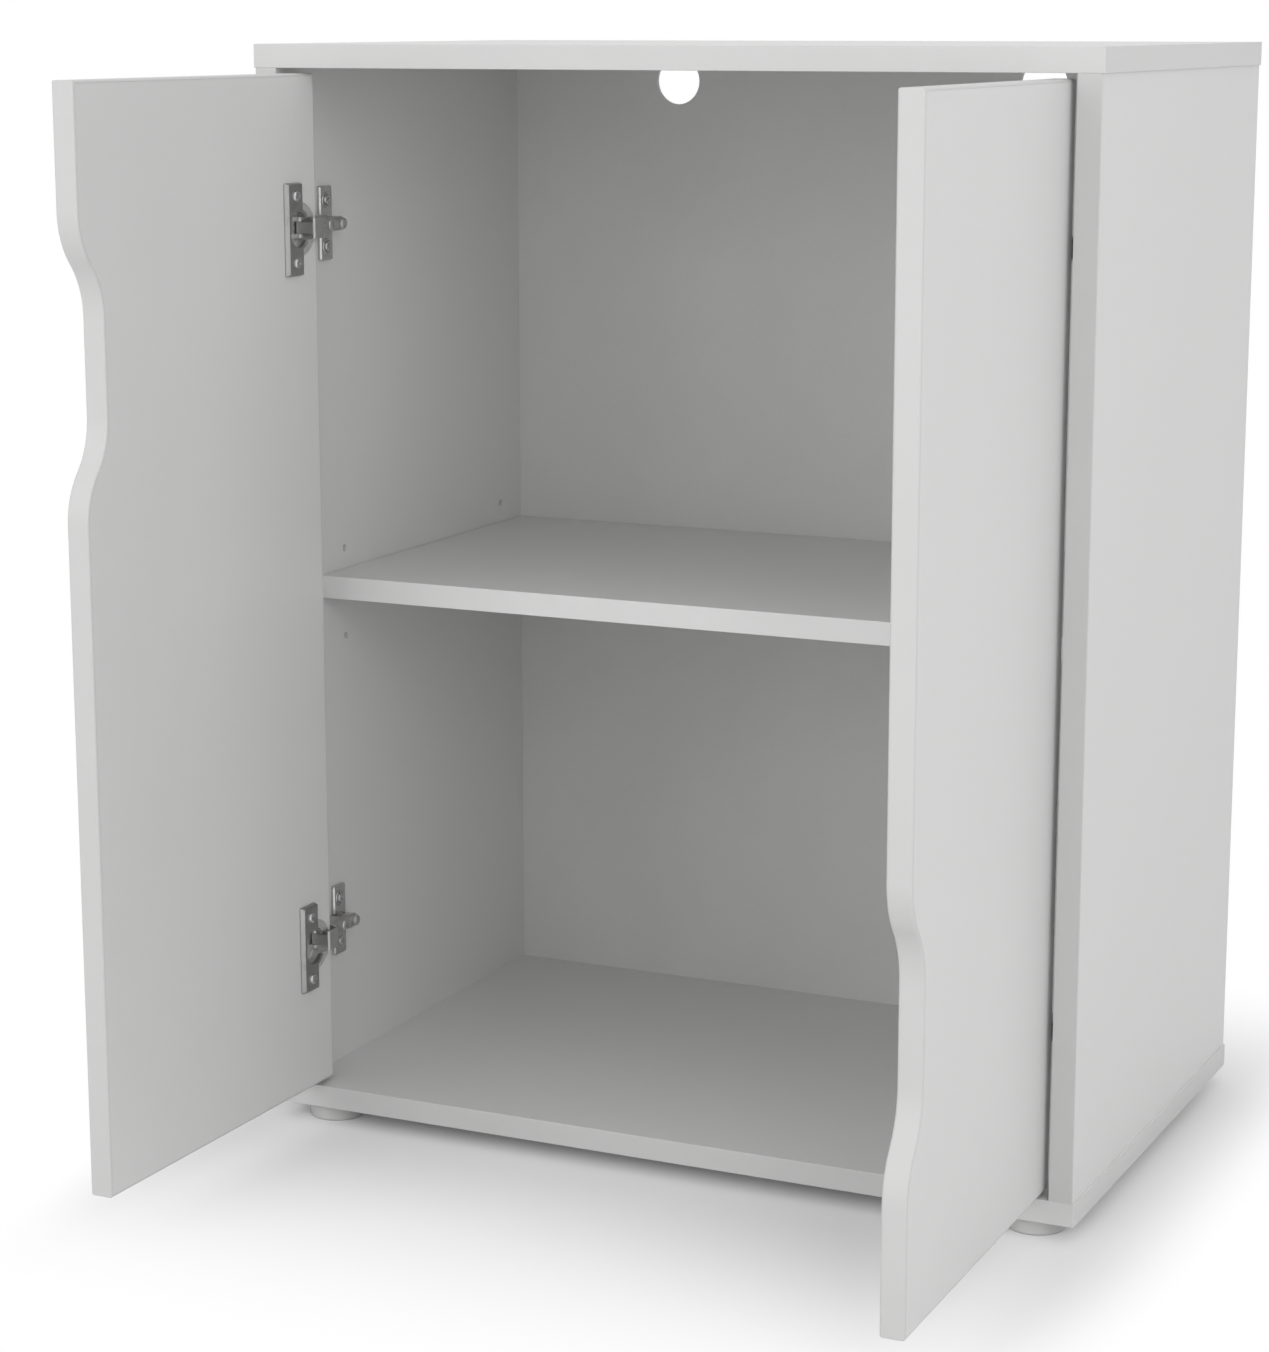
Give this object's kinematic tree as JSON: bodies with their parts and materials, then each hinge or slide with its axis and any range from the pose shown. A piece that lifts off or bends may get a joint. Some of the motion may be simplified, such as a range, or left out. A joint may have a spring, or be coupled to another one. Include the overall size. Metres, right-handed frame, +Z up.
{
  "type": "filing cabinet",
  "caption": "White filing cabinet with a shelf, wave-cut door edges as handles, inset doors on cup hinges, cable holes in the back and low glides.",
  "frame": {"origin": "on the floor, at the middle of the box that holds the cabinet with its doors as they stand at rest, open a little past square", "axes": "+X to the cabinet's right as seen from the front, +Y from the front to the back, +Z up"},
  "size_m": [0.6, 0.6324, 0.765],
  "materials": {
    "white_board": "satin white melamine on 16 mm chipboard",
    "white_edge_band": "satin white plastic edge band",
    "white_hardboard": "matt white lacquered hardboard",
    "nickel_plated_steel": "bright nickel plate on pressed and cast metal",
    "bright_zinc": "bright zinc plated steel",
    "pale_plastic": "pale grey moulded plastic",
    "beech": "plain fluted beech dowel"
  },
  "bodies": {
    "cabinet": {"top_panel": "white_board", "bottom_panel": "white_board", "left_side_panel": "white_board", "right_side_panel": "white_board", "shelf": "white_board", "top_edge_band": "white_edge_band", "bottom_edge_band": "white_edge_band", "left_side_edge_bands": "white_edge_band", "right_side_edge_bands": "white_edge_band", "shelf_edge_band": "white_edge_band", "back_panel": "white_hardboard", "shelf_supports": "bright_zinc", "top_dowels": "beech", "bottom_dowels": "beech", "glide_front_left": "pale_plastic", "glide_front_right": "pale_plastic", "glide_back_left": "pale_plastic", "glide_back_right": "pale_plastic", "glide_screws": "bright_zinc", "left_upper_hinge_arm": "nickel_plated_steel", "left_upper_mounting_plate": "nickel_plated_steel", "left_lower_hinge_arm": "nickel_plated_steel", "left_lower_mounting_plate": "nickel_plated_steel", "right_upper_hinge_arm": "nickel_plated_steel", "right_upper_mounting_plate": "nickel_plated_steel", "right_lower_hinge_arm": "nickel_plated_steel", "right_lower_mounting_plate": "nickel_plated_steel", "mounting_plate_screws": "bright_zinc", "arm_fixing_screws": "bright_zinc", "arm_adjusting_screws": "bright_zinc"},
    "left_door": {"left_door_panel": "white_board", "left_door_edge_band": "white_edge_band", "left_upper_hinge_cup": "nickel_plated_steel", "left_lower_hinge_cup": "nickel_plated_steel", "left_hinge_pins": "nickel_plated_steel", "left_cup_screws": "bright_zinc"},
    "right_door": {"right_door_panel": "white_board", "right_door_edge_band": "white_edge_band", "right_upper_hinge_cup": "nickel_plated_steel", "right_lower_hinge_cup": "nickel_plated_steel", "right_hinge_pins": "nickel_plated_steel", "right_cup_screws": "bright_zinc"}
  },
  "joints": [
    {"name": "left_door_hinge", "type": "hinge", "parent": "cabinet", "child": "left_door", "pos_m": [-0.27072, -0.04684, 0.389], "axis": [0, 0, -1], "range_deg": [-90.8, 14.2]},
    {"name": "right_door_hinge", "type": "hinge", "parent": "cabinet", "child": "right_door", "pos_m": [0.27072, -0.04684, 0.389], "axis": [0, 0, 1], "range_deg": [-90.8, 14.2]}
  ]
}
